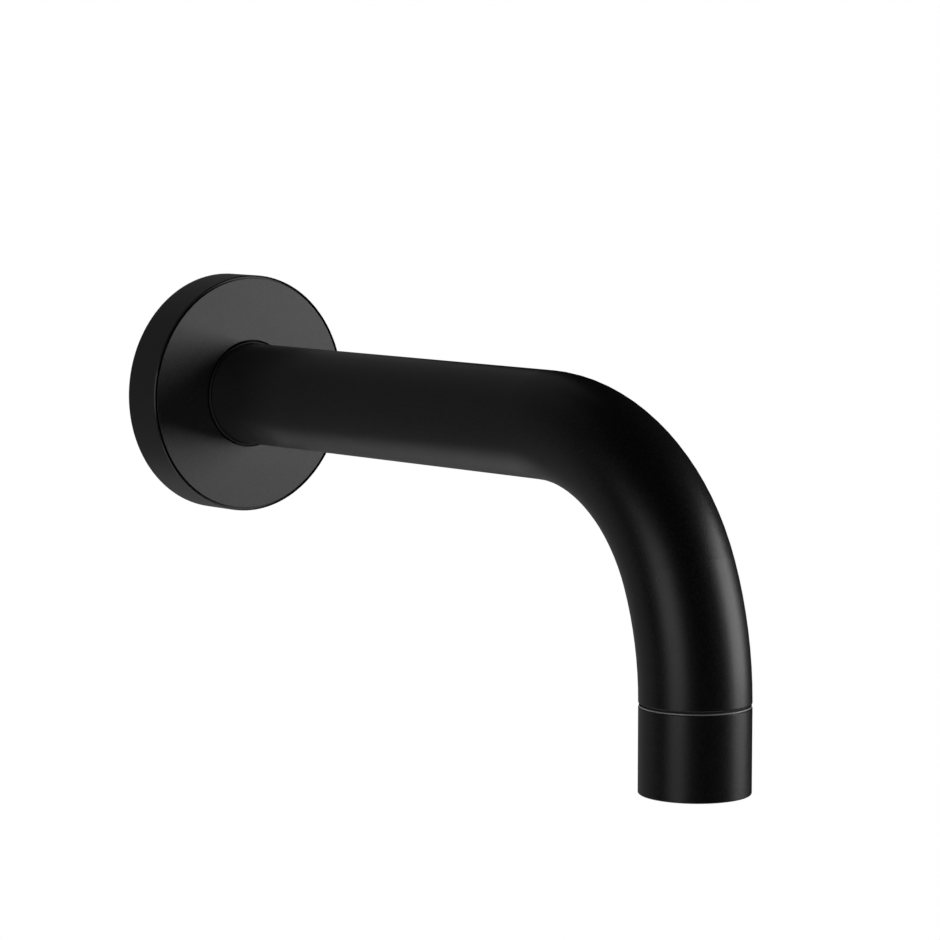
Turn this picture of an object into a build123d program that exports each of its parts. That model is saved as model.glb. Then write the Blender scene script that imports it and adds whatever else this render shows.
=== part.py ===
from build123d import *
import math
import os

# Wall bath spout: a bent brass tube, a cover flange at the wall and a screwed outlet collar.
# The origin is on the wall plane, at the tube's axis. The spout runs out along -Y and its outlet looks down.
# All sizes are in millimetres and degrees. Threads are plain cylinders at their working diameter.

# Tube
tube_diameter = 25.4
tube_wall = 1.2
tube_set_back = 1.5  # from the wall plane to the tube's wall end
straight_run = 123.3  # from the wall plane to the start of the bend
bend_radius = 47.0  # first arc, on the tube's axis
bend_turn = 69.0  # how far the first arc turns
sweep_radius = 79.0  # second, easier arc, which ends at the outlet
tube_edge_radius = 0.3

# Inlet bush, brazed into the tube's wall end
inlet_bush_length = 18.0
inlet_bush_wall = 2.13  # over the thread of a half-inch pipe nipple
inlet_thread_depth = 14.0
inlet_stop_step = 1.3  # the nipple stops against this step
inlet_mouth_chamfer = 1.0
braze_gap = 0.05

# Wall flange
flange_diameter = 60.0
flange_depth = 11.1
flange_bevel_length = 0.3  # at the rim's front edge, along the tube
flange_bevel_height = 0.16
flange_line_set_in = 0.26  # from the rim to the fine turned line round the face
flange_line_width = 0.5
flange_line_depth = 0.6
flange_face_edge_radius = 0.12
flange_face_wall = 3.0
flange_rim_wall = 4.0
flange_front_lip = 1.6  # in front of the seal's groove
flange_hub_wall = 3.0  # around the seal's groove
flange_hub_set_back = 3.0  # from the wall plane to the hub
flange_slide = 0.2  # clearance on the tube

# Rubber ring between flange and tube
seal_body_height = 2.2
seal_body_length = 2.8
seal_nose_thickness = 0.45
seal_nose_round = 0.3
seal_nose_inner_round = 0.1
seal_nose_stand = 0.5  # how far the nose stands out of the flange's face
seal_nose_gap = 0.45  # fine gap between the nose and the flange's hole
seal_fit = 0.05

# Soft ring between flange and wall
gasket_width = 2.0
gasket_thickness = 1.8
gasket_fit = 0.2

# Outlet collar and the thread that carries it
shadow_gap = 0.7  # between the tube's end and the collar's shoulder
collar_length = 19.6
collar_edge_radius = 0.3
collar_lip_height = 1.5
collar_lip_width = 1.0
spigot_engagement = 5.5  # how far the collar's thread reaches into the tube
spigot_wall = 1.3
thread_bite = 0.175  # mean depth of the thread in the tube's wall
thread_fit = 0.1
thread_run_out = 1.0

# Stepped washer between the tube's end and the collar
washer_lip_thickness = 0.37  # shows as a pale line under the tube's end
washer_lip_set_back = 0.15  # behind the collar's side
washer_hub_set_back = 0.55  # behind the tube's side
washer_fit = 0.05

# Honeycomb insert and the screen on it
straightener_height = 9.0  # above the collar's lip
straightener_recess = 0.5  # from the collar's bottom edge
straightener_fit = 0.1
straightener_skin = 0.8
honeycomb_cell = 2.0  # across flats
honeycomb_wall = 0.45
screen_thickness = 1.2
screen_skin = 1.0
screen_cell = 1.5  # across flats
screen_wall = 0.6

# Sizes that follow
QUARTER_TURN = 90.0
tube_radius = tube_diameter / 2
tube_bore_radius = tube_radius - tube_wall

inlet_bush_radius = tube_bore_radius - braze_gap
inlet_thread_radius = inlet_bush_radius - inlet_bush_wall
inlet_throat_radius = inlet_thread_radius - inlet_stop_step

flange_radius = flange_diameter / 2
flange_line_outer_radius = flange_radius - flange_line_set_in
flange_line_inner_radius = flange_line_outer_radius - flange_line_width
flange_line_bottom = flange_depth - flange_line_depth
seal_bore_radius = tube_radius + seal_fit
seal_nose_radius = seal_bore_radius + seal_nose_thickness
seal_body_radius = seal_bore_radius + seal_body_height
flange_hole_radius = seal_nose_radius + seal_nose_gap
flange_groove_radius = seal_body_radius + seal_fit
flange_groove_front = flange_depth - flange_front_lip
flange_groove_back = flange_groove_front - seal_body_length - 2 * seal_fit
flange_slide_radius = tube_radius + flange_slide
flange_hub_radius = flange_groove_radius + flange_hub_wall
flange_cavity_radius = flange_radius - flange_rim_wall
flange_cavity_depth = flange_depth - flange_face_wall
gasket_radius = flange_cavity_radius + gasket_width
gasket_recess_radius = gasket_radius + gasket_fit

outlet_thread_radius = tube_bore_radius + thread_bite
spigot_radius = outlet_thread_radius - thread_fit
collar_bore_radius = spigot_radius - spigot_wall
collar_lip_radius = collar_bore_radius - collar_lip_width
collar_bottom = shadow_gap + collar_length
collar_lip_top = collar_bottom - collar_lip_height
washer_bore_radius = spigot_radius + washer_fit
washer_hub_radius = tube_radius - washer_hub_set_back
washer_lip_radius = tube_radius - washer_lip_set_back
washer_lip_top = shadow_gap - washer_lip_thickness

straightener_radius = collar_bore_radius - straightener_fit
straightener_nose_radius = collar_lip_radius - straightener_fit
straightener_bottom = collar_bottom - straightener_recess
straightener_top = collar_lip_top - straightener_height
screen_top = straightener_top - screen_thickness


def tube_path():
    """The tube's axis from its wall end: a straight run, then two tangent arcs down to the vertical."""
    side = Plane(origin=(0, 0, 0), x_dir=(0, -1, 0), z_dir=(-1, 0, 0))
    run = Line((tube_set_back, 0), (straight_run, 0))
    bend = JernArc(run @ 1, run % 1, bend_radius, -bend_turn)
    sweep_end = JernArc(bend @ 1, bend % 1, sweep_radius, bend_turn - QUARTER_TURN)
    return side * Wire([run, bend, sweep_end])


axis_path = tube_path()
outlet_end = axis_path @ 1

# Turned pieces are drawn as (radius, distance) profiles. Distance runs from the wall plane along the tube,
# or from the tube's outlet end downwards.
WALL_SIDE = Plane(origin=(0, 0, 0), x_dir=(1, 0, 0), z_dir=(0, 0, -1))
OUTLET_SIDE = Plane(origin=outlet_end, x_dir=(1, 0, 0), z_dir=(0, 1, 0))


def profile(points):
    """A closed profile through (radius, distance) points."""
    return make_face(Polyline(*points, close=True))


def rounded(face, radius, *corners):
    """The profile with the named corners rounded."""
    picked = [v for v in face.vertices() if any(math.dist((v.X, v.Y), c) < 1e-6 for c in corners)]
    return fillet(picked, radius)


def turned(face, side):
    """The profile revolved about the side's own axis."""
    return revolve(side * face, Axis(side.origin, side.y_dir))


def ring(inner_radius, outer_radius, start, end):
    """A plain ring's profile."""
    return profile([(inner_radius, start), (outer_radius, start), (outer_radius, end), (inner_radius, end)])


def make_spout_tube():
    """Bent tube, tapped at its outlet end."""
    start = Plane(origin=axis_path @ 0, z_dir=axis_path % 0)
    tube = sweep(start * (Circle(tube_radius) - Circle(tube_bore_radius)), axis_path)
    tapped_depth = spigot_engagement + thread_run_out
    tube -= turned(ring(0, outlet_thread_radius, -tapped_depth, shadow_gap), OUTLET_SIDE)
    mouth = tube.faces().sort_by(Axis.Z)[0]
    return fillet(mouth.outer_wire().edges(), tube_edge_radius)


def make_inlet_bush():
    """Bush with a tapped mouth and a step that the pipe nipple stops on."""
    mouth = tube_set_back
    step = mouth + inlet_thread_depth
    end = mouth + inlet_bush_length
    outline = [
        (inlet_thread_radius + inlet_mouth_chamfer, mouth),
        (inlet_bush_radius, mouth),
        (inlet_bush_radius, end),
        (inlet_throat_radius, end),
        (inlet_throat_radius, step),
        (inlet_thread_radius, step),
        (inlet_thread_radius, mouth + inlet_mouth_chamfer),
    ]
    return turned(profile(outline), WALL_SIDE)


def make_wall_flange():
    """Cover plate with a fine line turned round its face, a hollow back, a hub with the seal's groove,
    and a recess for the gasket."""
    face_edge = (flange_line_inner_radius, flange_depth)
    outline = [
        (flange_radius, 0),
        (flange_radius, flange_depth - flange_bevel_length),
        (flange_radius - flange_bevel_height, flange_depth),
        (flange_line_outer_radius, flange_depth),
        (flange_line_outer_radius, flange_line_bottom),
        (flange_line_inner_radius, flange_line_bottom),
        face_edge,
        (flange_hole_radius, flange_depth),
        (flange_hole_radius, flange_groove_front),
        (flange_groove_radius, flange_groove_front),
        (flange_groove_radius, flange_groove_back),
        (flange_slide_radius, flange_groove_back),
        (flange_slide_radius, flange_hub_set_back),
        (flange_hub_radius, flange_hub_set_back),
        (flange_hub_radius, flange_cavity_depth),
        (flange_cavity_radius, flange_cavity_depth),
        (flange_cavity_radius, gasket_thickness),
        (gasket_recess_radius, gasket_thickness),
        (gasket_recess_radius, 0),
    ]
    return turned(rounded(profile(outline), flange_face_edge_radius, face_edge), WALL_SIDE)


def make_flange_seal():
    """Rubber ring: a body in the flange's groove and a thin round nose that shows at the tube's root."""
    back = flange_groove_back + seal_fit
    front = back + seal_body_length
    tip = flange_depth + seal_nose_stand
    nose_edge = (seal_nose_radius, tip)
    inner_edge = (seal_bore_radius, tip)
    outline = [
        (seal_bore_radius, back),
        (seal_body_radius, back),
        (seal_body_radius, front),
        (seal_nose_radius, front),
        nose_edge,
        inner_edge,
    ]
    nose = rounded(profile(outline), seal_nose_round, nose_edge)
    return turned(rounded(nose, seal_nose_inner_round, inner_edge), WALL_SIDE)


def make_wall_gasket():
    """Soft ring in the flange's back, level with the wall plane."""
    return turned(ring(flange_cavity_radius, gasket_radius, 0, gasket_thickness), WALL_SIDE)


def make_outlet_collar():
    """Sleeve with a threaded spigot above its shoulder and a lip at the bottom that carries the insert."""
    top_edge = (tube_radius, shadow_gap)
    bottom_edge = (tube_radius, collar_bottom)
    outline = [
        (collar_bore_radius, -spigot_engagement),
        (spigot_radius, -spigot_engagement),
        (spigot_radius, shadow_gap),
        top_edge,
        bottom_edge,
        (collar_lip_radius, collar_bottom),
        (collar_lip_radius, collar_lip_top),
        (collar_bore_radius, collar_lip_top),
    ]
    return turned(rounded(profile(outline), collar_edge_radius, top_edge, bottom_edge), OUTLET_SIDE)


def make_outlet_seal():
    """Washer with a hub that the tube's end presses on and a thin lip that shows above the collar."""
    outline = [
        (washer_bore_radius, 0),
        (washer_hub_radius, 0),
        (washer_hub_radius, washer_lip_top),
        (washer_lip_radius, washer_lip_top),
        (washer_lip_radius, shadow_gap),
        (washer_bore_radius, shadow_gap),
    ]
    return turned(profile(outline), OUTLET_SIDE)


def honeycomb(cell, wall, outer_radius, start, end):
    """Six-sided channels on a triangular grid, all of them inside the outer radius."""
    pitch = cell + wall
    corner = cell / math.sqrt(3)
    reach = math.ceil(outer_radius / pitch) + 1
    steps = range(-reach, reach + 1)
    grid = [((i + j / 2) * pitch, j * pitch * math.sqrt(3) / 2) for i in steps for j in steps]
    inside = [p for p in grid if math.hypot(*p) + corner <= outer_radius]
    cells = Sketch() + [Pos(*p) * RegularPolygon(corner, 6, rotation=30) for p in inside]
    base = Plane(origin=outlet_end - Vector(0, 0, end), x_dir=(1, 0, 0), z_dir=(0, 0, 1))
    return extrude(base * cells, end - start)


def make_flow_straightener():
    """Insert that stands on the collar's lip, with a honeycomb of channels from end to end."""
    outline = [
        (0, straightener_top),
        (straightener_radius, straightener_top),
        (straightener_radius, collar_lip_top),
        (straightener_nose_radius, collar_lip_top),
        (straightener_nose_radius, straightener_bottom),
        (0, straightener_bottom),
    ]
    core_radius = straightener_nose_radius - straightener_skin
    channels = honeycomb(honeycomb_cell, honeycomb_wall, core_radius, straightener_top, straightener_bottom)
    return turned(profile(outline), OUTLET_SIDE) - channels


def make_filter_screen():
    """Perforated disc that lies on top of the insert."""
    disc = turned(ring(0, straightener_radius, screen_top, straightener_top), OUTLET_SIDE)
    core_radius = straightener_radius - screen_skin
    return disc - honeycomb(screen_cell, screen_wall, core_radius, screen_top, straightener_top)


os.makedirs("parts", exist_ok=True)
for make in (
    make_spout_tube,
    make_inlet_bush,
    make_wall_flange,
    make_flange_seal,
    make_wall_gasket,
    make_outlet_collar,
    make_outlet_seal,
    make_flow_straightener,
    make_filter_screen,
):
    node = make.__name__.removeprefix("make_")
    export_step(make(), f"parts/{node}.step")
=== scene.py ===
import math

import bpy
import numpy as np
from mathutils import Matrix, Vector


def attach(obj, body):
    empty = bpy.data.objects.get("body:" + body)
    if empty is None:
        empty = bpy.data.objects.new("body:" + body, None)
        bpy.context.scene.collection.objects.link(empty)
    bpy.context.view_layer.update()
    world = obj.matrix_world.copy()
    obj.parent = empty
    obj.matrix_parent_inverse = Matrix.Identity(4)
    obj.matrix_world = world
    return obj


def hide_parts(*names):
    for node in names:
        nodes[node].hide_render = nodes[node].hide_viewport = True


# Matte black wall bath spout: finishes, the threaded inlet bush, and the studio round it.
# All lengths are in metres, in the part's own frame: +Y into the wall, outlet down along -Z.
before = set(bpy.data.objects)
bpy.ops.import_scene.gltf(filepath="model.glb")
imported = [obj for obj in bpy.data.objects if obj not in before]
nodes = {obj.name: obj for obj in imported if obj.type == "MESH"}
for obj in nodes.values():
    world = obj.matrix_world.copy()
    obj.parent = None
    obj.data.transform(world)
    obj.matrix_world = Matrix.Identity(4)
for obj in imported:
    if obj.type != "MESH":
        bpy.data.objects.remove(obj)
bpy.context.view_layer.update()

MM = 0.001

# Where one look gives way to another on a piece
TUBE_CUT_END = -1.6 * MM
# Painted light on the tube near the flange, against the flange's shade: full from this level to the flange,
# none past the next
PAINTED_LIGHT_FULL = -26 * MM
PAINTED_LIGHT_END = -46 * MM
FLANGE_BACK_RADIUS = 28.4 * MM
FLANGE_FACE_INSIDE = -10.0 * MM
FLANGE_FACE = -11.0 * MM
# The flange's bevel, painted paler as a painted highlight, and the land at its front, painted black as a
# painted shade
FLANGE_BEVEL_RADIUS = 29.72 * MM
FLANGE_BEVEL_BACK = -10.78 * MM
FLANGE_LAND = -11.05 * MM
# Above this level the washer is painted black, a painted shade under the tube's end
WASHER_PALE_TOP = -58.91 * MM

# What both coats share
CLOUD_SIZE = 14 * MM
GRAIN_SIZE = 0.32 * MM
GRAIN_DEPTH = 0.015 * MM
GRAIN_STRENGTH = 0.7
SPECK_START = 0.4
SPECK_CONTRAST = 3

# Brass, freshly cut and older
CUT_BRASS = (0.62, 0.42, 0.18, 1.0)
BRIGHT_BRASS = (0.72, 0.50, 0.22, 1.0)
DULL_BRASS = (0.46, 0.29, 0.12, 1.0)

# Inlet bush: its sizes are the part's, the thread's form is added here
BUSH_RADIUS = 11.45 * MM
BUSH_MOUTH = 1.5 * MM
BUSH_LENGTH = 18.0 * MM
BUSH_THROAT = 8.02 * MM
MOUTH_CHAMFER = 1.0 * MM
THREAD_CREST = 9.32 * MM
THREAD_LENGTH = 14.0 * MM
THREAD_PITCH = 25.4 / 14 * MM
THREAD_HEIGHT = 1.1 * MM
THREAD_RUN_OUT = 1.2 * MM
THREAD_STEPS = 112
BUSH_STEPS_ROUND = 144
BUSH_SHARP_ANGLE = math.radians(35)

# The Mix node's colour sockets, which share their names with its other sockets
MIX_FIRST = 6
MIX_SECOND = 7
MIX_RESULT = 2


# Shader maths
class Value:
    """A number that changes over a surface: arithmetic on it adds Math nodes to its finish."""

    def __init__(self, finish, socket):
        self.finish, self.socket = finish, socket

    def maths(self, operation, first, second=0.0):
        return self.finish.node("ShaderNodeMath", {"operation": operation}, {0: first, 1: second})

    def __add__(self, other):
        return self.maths("ADD", self, other)

    def __radd__(self, other):
        return self.maths("ADD", other, self)

    def __sub__(self, other):
        return self.maths("SUBTRACT", self, other)

    def __rsub__(self, other):
        return self.maths("SUBTRACT", other, self)

    def __mul__(self, other):
        return self.maths("MULTIPLY", self, other)

    def __rmul__(self, other):
        return self.maths("MULTIPLY", other, self)

    def __pow__(self, other):
        return self.maths("POWER", self, other)

    def __rpow__(self, other):
        return self.maths("POWER", other, self)

    def __gt__(self, other):
        return self.maths("GREATER_THAN", self, other)

    def __lt__(self, other):
        return self.maths("LESS_THAN", self, other)


class Finish:
    """A node tree being wired: a surface finish or the studio's sky."""

    def __init__(self, owner):
        owner.use_nodes = True
        self.owner = owner
        self.tree = owner.node_tree

    def node(self, kind, settings=None, inputs=None, output=0):
        """A node of that type: its settings come first, then its sockets' values or links. What comes back
        is one of its outputs, or a list where several are named."""
        made = self.tree.nodes.new(kind)
        for name, value in (settings or {}).items():
            setattr(made, name, value)
        for name, value in (inputs or {}).items():
            self.feed(made.inputs[name], value)
        if isinstance(output, tuple):
            return [Value(self, made.outputs[name]) for name in output]
        return Value(self, made.outputs[output])

    def feed(self, socket, value):
        """A link where the value comes from a node, and a set value otherwise."""
        if isinstance(value, Value):
            self.tree.links.new(value.socket, socket)
        else:
            socket.default_value = value

    def place(self):
        """The point on the surface, in metres in the part's frame."""
        return self.node("ShaderNodeTexCoord", output="Object")

    def noise(self, size, detail=2.0, roughness=0.5, at=None):
        """Smooth noise from 0 to 1 whose blotches are about that size in metres."""
        return self.node(
            "ShaderNodeTexNoise",
            {"noise_dimensions": "3D"},
            {"Vector": at or self.place(), "Scale": 1 / size, "Detail": detail, "Roughness": roughness},
        )

    def axes(self, *names):
        """How far the point lies along each of the named axes."""
        return self.node("ShaderNodeSeparateXYZ", None, {0: self.place()}, output=names)

    def blend(self, amount, first, second):
        """A colour between two colours."""
        return self.node(
            "ShaderNodeMix",
            {"data_type": "RGBA"},
            {"Factor": amount, MIX_FIRST: first, MIX_SECOND: second},
            output=MIX_RESULT,
        )

    def bump(self, height, depth, strength=1.0):
        """A surface normal tipped by a height from 0 to 1, that deep in metres."""
        return self.node("ShaderNodeBump", None, {"Height": height, "Distance": depth, "Strength": strength})

    def shader(self):
        return self.tree.nodes["Principled BSDF"]

    def surface(self, **inputs):
        """The finish's own shader gets these values or links. An underscore in a name stands for a blank."""
        for name, value in inputs.items():
            self.feed(self.shader().inputs[name.replace("_", " ")], value)
        return self.owner


def grey(tone):
    return (tone, tone, tone, 1.0)


def new_finish(name):
    return Finish(bpy.data.materials.new(name))


# Finishes
def coat_grain(f):
    """The sprayed coat's fine grain, from 0 to 1, the paler specks in it, and its broad cloudiness."""
    grain = f.noise(GRAIN_SIZE, detail=2.0, roughness=0.6)
    return grain, SPECK_CONTRAST * (grain - SPECK_START), f.noise(CLOUD_SIZE, detail=2.0)


def tube_coat():
    """Sprayed and baked black coat: nearly flat, with a very fine grain and faint cloudiness in its sheen.
    Near the flange it is painted lighter, painted light against the flange's shade. The tube's end at the
    wall is cut after spraying and shows its brass."""
    f = new_finish("matte_black_coat")
    grain, speck, clouds = coat_grain(f)
    [y] = f.axes("Y")
    cut = y > TUBE_CUT_END
    # Painted light: the coat is painted lighter towards the flange, against the flange's shade
    lift = (y - PAINTED_LIGHT_END) * (1 / (PAINTED_LIGHT_FULL - PAINTED_LIGHT_END))
    dark = f.blend(lift, grey(0.003), grey(0.022))
    pale = f.blend(lift, grey(0.020), grey(0.042))
    coat = f.blend(speck, dark, pale)
    return f.surface(
        Base_Color=f.blend(cut, coat, CUT_BRASS),
        Metallic=cut,
        Roughness=0.36 + 0.04 * clouds + 0.16 * (grain - 0.5),
        Normal=f.bump(grain, GRAIN_DEPTH, GRAIN_STRENGTH),
    )


def flange_coat():
    """The same coat on the flange: its front painted paler than its rim, as painted light, smoother and
    painted paler on the rim's bevel, a painted highlight, flat and painted black on the land beside the
    turned line, a painted shade, and dry and dusty where the spray drifts into its hollow back."""
    f = new_finish("flange_coat")
    grain, speck, clouds = coat_grain(f)
    x, y, z = f.axes("X", "Y", "Z")
    radius = (x * x + z * z) ** 0.5
    dry = (radius < FLANGE_BACK_RADIUS) * (y > FLANGE_FACE_INSIDE)
    dust = dry * (0.5 + 0.5 * f.noise(2.5 * MM, detail=4.0, roughness=0.7))
    bevel = (radius > FLANGE_BEVEL_RADIUS) * (y < FLANGE_BEVEL_BACK)
    land = bevel * (y < FLANGE_LAND)
    rim = f.blend(speck, grey(0.002), grey(0.014))
    # Painted light: the front is painted paler than the rim, though both are the same coat
    painted_light_face = f.blend(speck, grey(0.032), grey(0.066))
    # Painted highlight on the bevel, painted paler than the rim, and painted shade on the land beside it,
    # painted black
    edge = f.blend(land, grey(0.035), grey(0.002))
    coat = f.blend(bevel, f.blend(y < FLANGE_FACE, rim, painted_light_face), edge)
    dulling = 0.25 * dry - 0.2 * bevel + 0.75 * land
    return f.surface(
        Base_Color=f.blend(dust, coat, grey(0.06)),
        Roughness=0.41 + 0.04 * clouds + 0.14 * (grain - 0.5) + dulling,
        Specular_IOR_Level=0.55,
        Normal=f.bump(grain, GRAIN_DEPTH, GRAIN_STRENGTH),
    )


def turned_brass():
    """Bare brass with fine rings from the lathe and a dull, uneven tarnish."""
    f = new_finish("turned_brass")
    x, y, z = f.axes("X", "Y", "Z")
    radius = (x * x + z * z) ** 0.5
    rings = f.noise(0.12 * MM, detail=1.0, at=f.node("ShaderNodeCombineXYZ", None, {0: radius, 1: y}))
    tarnish = f.noise(4 * MM, detail=4.0, roughness=0.6)
    return f.surface(
        Base_Color=f.blend(tarnish, BRIGHT_BRASS, DULL_BRASS),
        Metallic=1.0,
        Roughness=0.24 + 0.16 * tarnish + 0.08 * rings,
        Normal=f.bump(rings, 0.01 * MM, 0.6),
    )


def black_rubber():
    """Moulded rubber ring with a faint satin haze in patches."""
    f = new_finish("black_rubber")
    skin = f.noise(0.5 * MM, detail=3.0)
    lift = f.noise(5 * MM, detail=2.0)
    return f.surface(
        Base_Color=f.blend(lift, grey(0.011), grey(0.018)),
        Roughness=0.52 + 0.12 * lift,
        Specular_IOR_Level=0.4,
        Normal=f.bump(skin, 0.01 * MM, 0.5),
    )


def soft_foam():
    """Closed-cell foam: small round cells that show as pits in its cut skin, each pit painted darker towards
    its middle, a painted shade.
    """
    f = new_finish("soft_foam")
    size = 0.55 * MM
    cells = f.node("ShaderNodeTexVoronoi", {"feature": "F1"}, {"Vector": f.place(), "Scale": 1 / size})
    shade = f.noise(3 * MM, detail=3.0)
    return f.surface(
        # Painted shade: the pits are painted darker towards their middles
        Base_Color=f.blend(cells, grey(0.028), grey(0.075)),
        Roughness=0.86 + 0.1 * shade,
        Normal=f.bump(cells, 0.12 * MM, 0.8),
    )


def insert_plastic():
    """Dark grey moulded plastic with faint flow clouding and a fine eroded texture."""
    f = new_finish("insert_plastic")
    flow = f.noise(2.5 * MM, detail=3.0)
    texture = f.noise(0.16 * MM, detail=2.0)
    return f.surface(
        Base_Color=f.blend(flow, grey(0.045), (0.075, 0.075, 0.08, 1.0)),
        Roughness=0.38 + 0.14 * flow,
        Normal=f.bump(texture, 0.008 * MM, 0.5),
    )


def washer_with_painted_shade():
    """Pale nylon lip above the collar, slightly cloudy; above the lip, under the tube's end, it is painted
    black and matte, a painted shade.
    """
    f = new_finish("washer_with_painted_shade")
    [z] = f.axes("Z")
    # Painted shade: above the pale lip the washer is painted black
    painted_shade = z > WASHER_PALE_TOP
    cloud = f.noise(1.5 * MM, detail=3.0)
    nylon = f.blend(cloud, grey(0.46), grey(0.56))
    return f.surface(
        Base_Color=f.blend(painted_shade, nylon, grey(0.004)),
        Roughness=0.30 + 0.10 * cloud + 0.4 * painted_shade,
        Specular_IOR_Level=1.0,
        Normal=f.bump(f.noise(0.2 * MM), 0.006 * MM, 0.5),
    )


TUBE_COAT = tube_coat()
FLANGE_COAT = flange_coat()
BRASS = turned_brass()
RUBBER = black_rubber()
FOAM = soft_foam()
PLASTIC = insert_plastic()
WASHER = washer_with_painted_shade()

FINISHES = {
    "spout_tube": TUBE_COAT,
    "wall_flange": FLANGE_COAT,
    "outlet_collar": TUBE_COAT,
    "inlet_bush": BRASS,
    "flange_seal": RUBBER,
    "outlet_seal": WASHER,
    "wall_gasket": FOAM,
    "flow_straightener": PLASTIC,
    "filter_screen": PLASTIC,
}
for name, finish in FINISHES.items():
    nodes[name].data.materials.clear()
    nodes[name].data.materials.append(finish)


# Surfaces
def new_object(name, points, faces, finish):
    """A smooth mesh object at the origin from an array of points and an array of faces."""
    mesh = bpy.data.meshes.new(name)
    mesh.from_pydata(points.tolist(), [], faces.tolist())
    mesh.polygons.foreach_set("use_smooth", np.full(len(faces), True))
    mesh.materials.append(finish)
    mesh.update()
    made = bpy.data.objects.new(name, mesh)
    bpy.context.scene.collection.objects.link(made)
    return made


def grid_faces(rows, columns, wrap_rows=False, wrap_columns=False):
    """Four-sided faces of a grid of points counted row by row, closed round either way if asked."""
    i = np.arange(rows if wrap_rows else rows - 1)[:, None]
    j = np.arange(columns if wrap_columns else columns - 1)[None, :]
    i2, j2 = (i + 1) % rows, (j + 1) % columns
    corners = (i * columns + j, i * columns + j2, i2 * columns + j2, i2 * columns + j)
    return np.stack(corners, -1).reshape(-1, 4)


def thread_form(turns):
    """Pipe thread form, from 0 on the crest to 1 in the root: a triangle wave of the turns, stretched by 1.3
    about its middle, cut off at 0 and 1, and then rounded as t * t * (3 - 2 * t)."""
    wave = np.abs(2 * (turns % 1.0) - 1)
    t = np.clip(1.3 * wave - 0.15, 0, 1)
    return t * t * (3 - 2 * t)


def threaded_bush():
    """A bush turned about Y as a closed profile. Inside the mouth the radius is the crest's plus the
    thread's height times its form at (depth / pitch + turn), and that height runs out to nothing over one
    pitch near the thread's end. The mouth's chamfer is taken where it is wider. The other rows have the
    profile's radius."""
    around = np.linspace(0, 2 * np.pi, BUSH_STEPS_ROUND, endpoint=False)
    depth = np.linspace(0, THREAD_LENGTH, THREAD_STEPS)
    run_out = np.clip((THREAD_LENGTH - THREAD_RUN_OUT - depth) / THREAD_PITCH, 0, 1)
    turns = depth[:, None] / THREAD_PITCH + around[None, :] / (2 * np.pi)
    cut = THREAD_CREST + THREAD_HEIGHT * run_out[:, None] * thread_form(turns)
    mouth = THREAD_CREST + MOUTH_CHAMFER - depth[:, None]
    thread = np.maximum(cut, mouth)
    rest_radius = np.array([BUSH_THROAT, BUSH_THROAT, BUSH_RADIUS, BUSH_RADIUS])
    rest_depth = np.array([THREAD_LENGTH, BUSH_LENGTH, BUSH_LENGTH, 0.0])
    radius = np.concatenate([thread, np.repeat(rest_radius[:, None], len(around), 1)])
    along = -(BUSH_MOUTH + np.concatenate([depth, rest_depth]))[:, None] + 0 * around
    points = np.stack([radius * np.sin(around), along, radius * np.cos(around)], -1)
    rows, columns = radius.shape
    faces = grid_faces(rows, columns, wrap_rows=True, wrap_columns=True)
    bush = new_object("threaded_bush", points.reshape(-1, 3), faces, BRASS)
    bush.data.set_sharp_from_angle(angle=BUSH_SHARP_ANGLE)
    return bush


bush = threaded_bush()
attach(bush, "root")
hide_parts("inlet_bush")

# Studio
CENTRE = Vector((0.0, -0.09, -0.02))
FLOOR_LEVEL = -1.0
FLOOR_RADIUS = 3.2
FLOOR_FADE = (1.0, 2.4)
WHITE_FLOOR_RADIUS = 1.25
TENT_RADIUS = 1.75
TENT_HEIGHT = 1.3
BACKDROP_TURN = (141.0, 232.0)
PAPER_FADE = (0.2, 1.0)
ALL_ROUND = (0.0, 360.0)
ROUND_STEPS = 97
PAPER_STEPS = 64
CLOTH_LIFT = 0.01
PAPER_LIFT = 0.02
PAPER_RADIUS = TENT_RADIUS - 0.1
PAPER_TOP = TENT_HEIGHT - 0.05
PAPER_FRONT_RADIUS = 0.6
MOTTLE_SIZE = 0.3
WEAVE_SIZE = 0.002
DIM_FILL = 0.05

# Camera, fitted to the photograph's outline
CAMERA_PLACE = (-0.5488, -0.7277, 0.0779)
CAMERA_LOOKS_DOWN = 6.18
CAMERA_TURN = -40.99
LENS = 136.1
SENSOR_WIDTH = 36.0
CLIP_START = 0.01
CLIP_END = 50.0


def turned_sheet(name, radius, level, turn, finish, steps):
    """A profile of (radius, level) points carried round the vertical axis through the studio's centre: at
    azimuth a, a point lies radius * sin(a) to the right of that axis and radius * cos(a) in front of it."""
    a = np.radians(np.linspace(turn[0], turn[1], steps))
    r, z = np.array(radius)[:, None], np.array(level)[:, None]
    points = np.stack([CENTRE.x + r * np.sin(a), CENTRE.y - r * np.cos(a), z + 0 * a], -1)
    faces = grid_faces(len(radius), steps)
    sheet = new_object(name, points.reshape(-1, 3), faces, finish)
    return sheet


def lit_white(f):
    """1 for what the camera, a gloss or a clear surface sees, 0 for light that falls on things."""
    kinds = ("Is Camera Ray", "Is Glossy Ray", "Is Transmission Ray")
    camera, gloss, clear = f.node("ShaderNodeLightPath", output=kinds)
    return camera.maths("MAXIMUM", camera, gloss.maths("MAXIMUM", gloss, clear))


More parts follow.
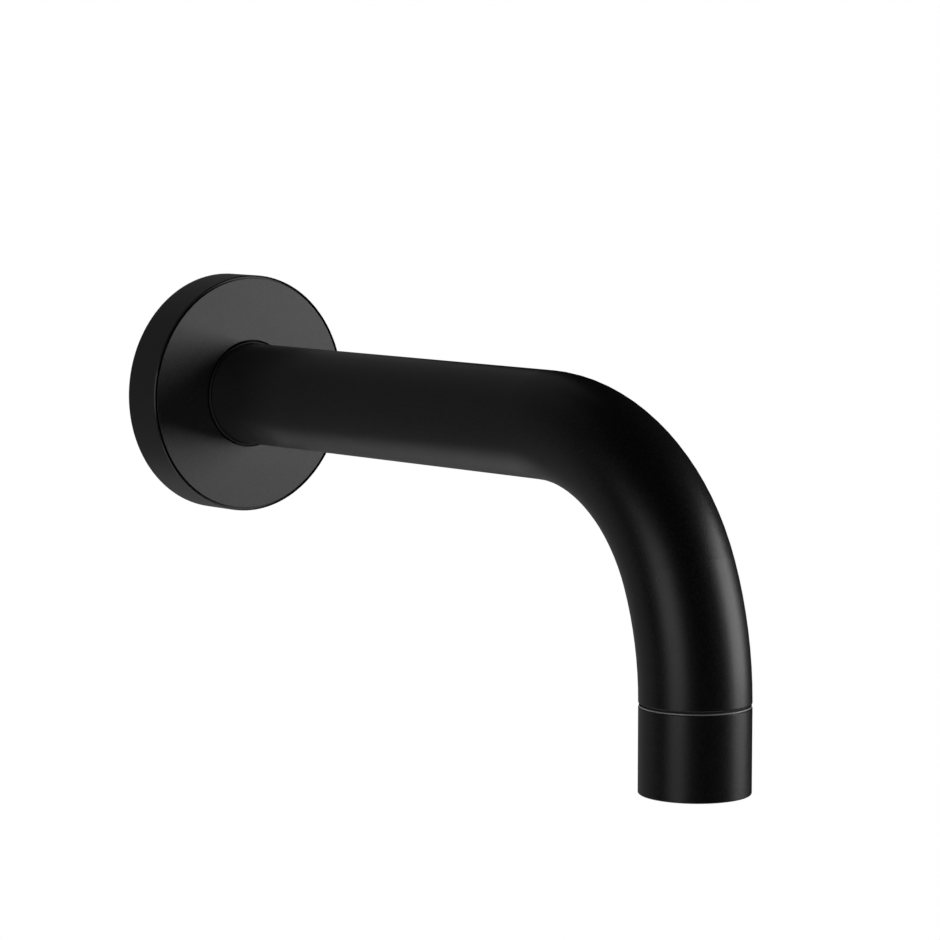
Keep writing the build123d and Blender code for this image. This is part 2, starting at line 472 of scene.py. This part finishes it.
def pale_floor():
    """Pale sheet, lifted towards white where it is seen, most at its edge. It still takes a shadow."""
    f = new_finish("pale_floor")
    mottle = f.noise(MOTTLE_SIZE, detail=2.0)
    x, y = f.axes("X", "Y")
    out = (x * x + y * y) ** 0.5
    fade = (out - FLOOR_FADE[0]) * (1 / (FLOOR_FADE[1] - FLOOR_FADE[0]))
    shine = f.blend(fade, grey(0.5), grey(1.0))
    f.surface(
        Base_Color=f.blend(mottle, grey(0.80), grey(0.84)),
        Roughness=0.9,
        Specular_IOR_Level=0.0,
        Emission_Color=f.blend(lit_white(f), grey(0.0), shine),
        Emission_Strength=1.0,
    )
    turned_sheet("floor", [0.0, FLOOR_RADIUS], [FLOOR_LEVEL] * 2, ALL_ROUND, f.owner, ROUND_STEPS)


def black_tent():
    """Black cloth on the floor's outer part, round the studio and over it, so that the coat stays dark."""
    f = new_finish("black_cloth")
    weave = f.noise(WEAVE_SIZE, detail=1.0)
    f.surface(Base_Color=f.blend(weave, grey(0.006), grey(0.012)), Roughness=1.0, Specular_IOR_Level=0.0)
    low = FLOOR_LEVEL + CLOTH_LIFT
    radius = [WHITE_FLOOR_RADIUS, TENT_RADIUS, TENT_RADIUS, 0.0]
    level = [low, low, TENT_HEIGHT, TENT_HEIGHT]
    tent = turned_sheet("black_tent", radius, level, ALL_ROUND, f.owner, ROUND_STEPS)
    tent.visible_camera = False


def grey_backdrop():
    """Dim grey paper behind the wall, bent forward over the spout and dimmer towards its top."""
    f = new_finish("grey_paper")
    mottle = f.noise(MOTTLE_SIZE, detail=2.0)
    [z] = f.axes("Z")
    height = (z - PAPER_FADE[0]) * (1 / (PAPER_FADE[1] - PAPER_FADE[0]))
    f.surface(
        Base_Color=f.blend(mottle, grey(0.10), grey(0.12)),
        Roughness=1.0,
        Specular_IOR_Level=0.0,
        Emission_Color=f.blend(height, grey(0.18), grey(0.125)),
        Emission_Strength=1.0,
    )
    radius = [PAPER_RADIUS, PAPER_RADIUS, PAPER_FRONT_RADIUS]
    level = [FLOOR_LEVEL + PAPER_LIFT, PAPER_TOP, PAPER_TOP]
    paper = turned_sheet("grey_backdrop", radius, level, BACKDROP_TURN, f.owner, PAPER_STEPS)
    paper.visible_camera = False


def panel(name, azimuth, elevation, distance, width, height, brightness, in_gloss=True):
    """A soft light of even brightness that faces the spout. Azimuth 0 is in front of the wall, 90 at the
    right. One that is left out of the gloss lights only the flat part of a colour."""
    a, e = math.radians(azimuth), math.radians(elevation)
    away = Vector((math.sin(a) * math.cos(e), -math.cos(a) * math.cos(e), math.sin(e)))
    lamp = bpy.data.lights.new(name, "AREA")
    lamp.shape, lamp.size, lamp.size_y = "RECTANGLE", width, height
    lamp.energy = brightness * math.pi * width * height
    made = bpy.data.objects.new(name, lamp)
    bpy.context.scene.collection.objects.link(made)
    made.location = CENTRE + away * distance
    made.rotation_mode = "QUATERNION"
    made.rotation_quaternion = away.to_track_quat("Z", "Y")
    made.visible_camera = False
    made.visible_glossy = in_gloss


def white_sky():
    """White where it is seen, and a dim even fill otherwise."""
    sky = bpy.data.worlds.new("white_sky")
    f = Finish(sky)
    f.tree.nodes["Background"].inputs["Color"].default_value = grey(1.0)
    f.feed(f.tree.nodes["Background"].inputs["Strength"], DIM_FILL + (1 - DIM_FILL) * lit_white(f))
    bpy.context.scene.world = sky


def photo_camera():
    """Camera at the photograph's viewing angle, in front of the wall, to the left and a little above."""
    data = bpy.data.cameras.new("camera")
    data.sensor_width, data.lens = SENSOR_WIDTH, LENS
    data.clip_start, data.clip_end = CLIP_START, CLIP_END
    made = bpy.data.objects.new("camera", data)
    bpy.context.scene.collection.objects.link(made)
    made.location = CAMERA_PLACE
    made.rotation_euler = (math.radians(90 - CAMERA_LOOKS_DOWN), 0.0, math.radians(CAMERA_TURN))
    bpy.context.scene.camera = made


pale_floor()
black_tent()
grey_backdrop()
panel("right_softbox", 53, 7, distance=0.9, width=0.60, height=0.60, brightness=3.4)
panel("left_softbox", -77, 2.5, distance=1.2, width=0.70, height=0.74, brightness=1.42)
panel("back_fill", 180, 10, distance=1.2, width=0.5, height=0.5, brightness=8.0, in_gloss=False)
white_sky()
photo_camera()
bpy.context.scene.view_settings.view_transform = "Standard"
